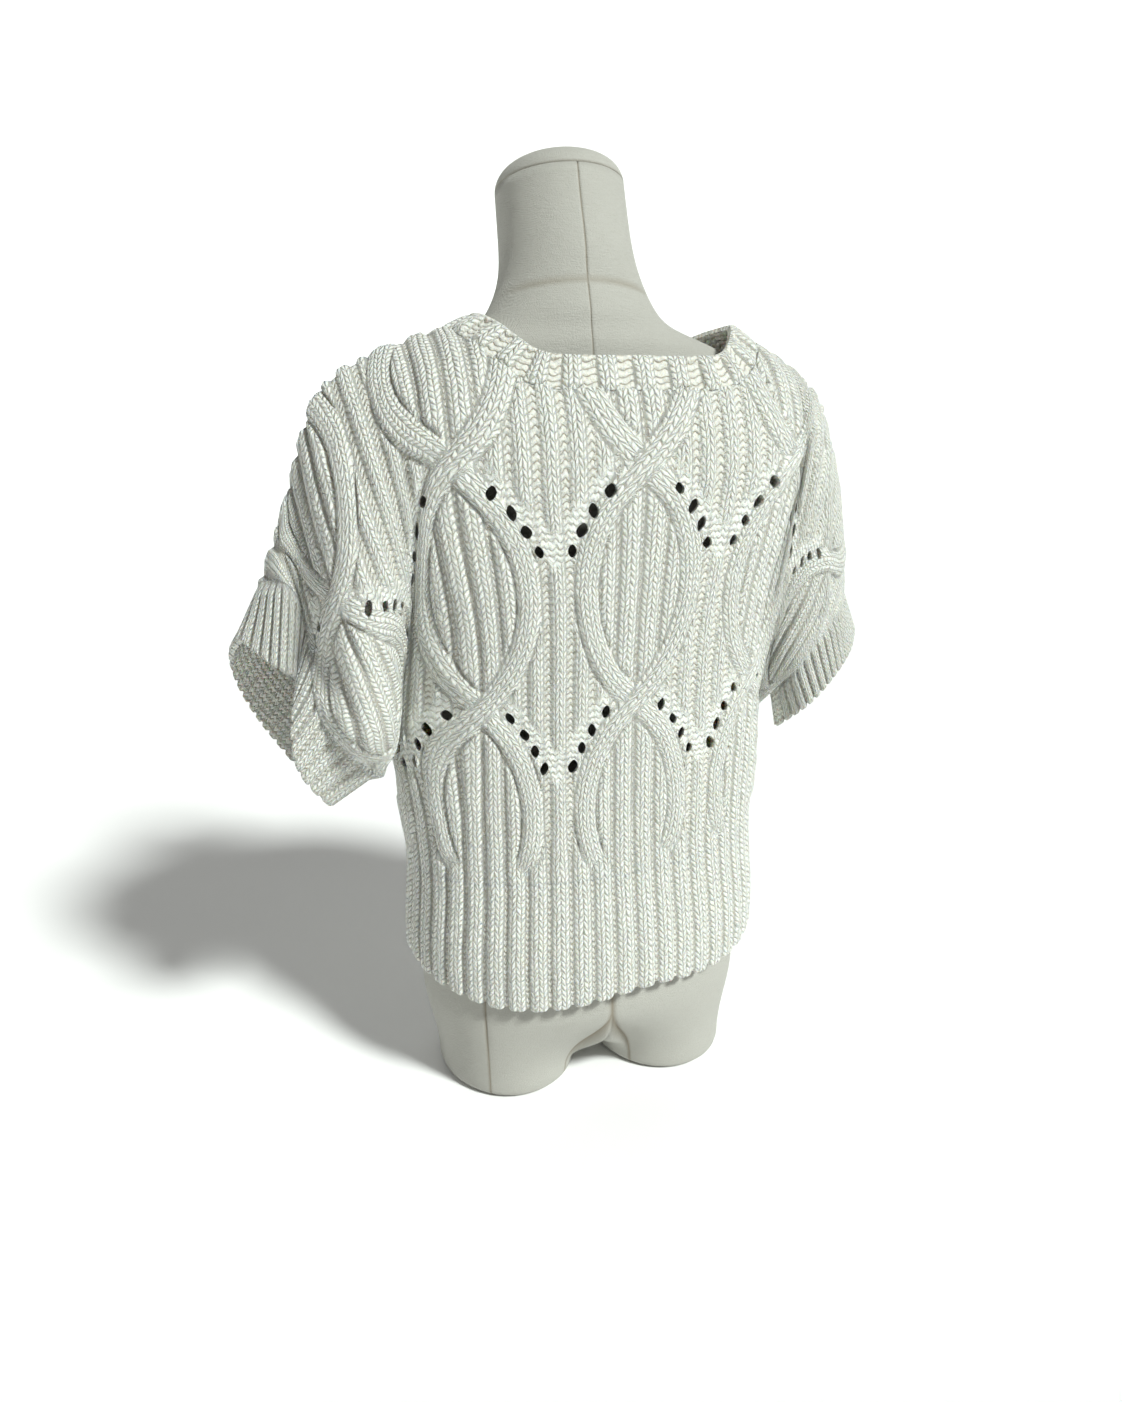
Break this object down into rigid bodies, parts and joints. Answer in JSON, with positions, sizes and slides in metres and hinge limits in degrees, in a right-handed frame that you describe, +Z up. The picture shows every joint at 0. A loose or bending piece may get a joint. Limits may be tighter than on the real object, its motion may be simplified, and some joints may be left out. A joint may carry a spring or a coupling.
{
  "type": "cropped knit sweater on a limbless dress form",
  "caption": "Cropped ivory sweater in travelling cable ribs and eyelet lace, with elbow sleeves, ribbed neckband, cuffs and hem, worn by a limbless linen dress form.",
  "frame": {"origin": "middle of the box round the whole part, on the surface it stands on", "axes": "+Z up; the form's chest faces -Y and its back, with the sweater's back panel, faces +Y; the wearer's left is +X"},
  "size_m": [0.619, 0.2844, 0.8387],
  "materials": {
    "ivory_yarn": "matt slubby ivory yarn, knitted in ribs, travelling bands and eyelets",
    "linen_cover": "matt woven natural linen stretched over the form"
  },
  "bodies": {
    "root": {"back_panel": "ivory_yarn", "front_panel": "ivory_yarn", "back_hem_rib": "ivory_yarn", "front_hem_rib": "ivory_yarn", "left_cuff": "ivory_yarn", "right_cuff": "ivory_yarn", "neckband": "ivory_yarn", "dress_form": "linen_cover", "neck_cap": "linen_cover"}
  },
  "joints": []
}
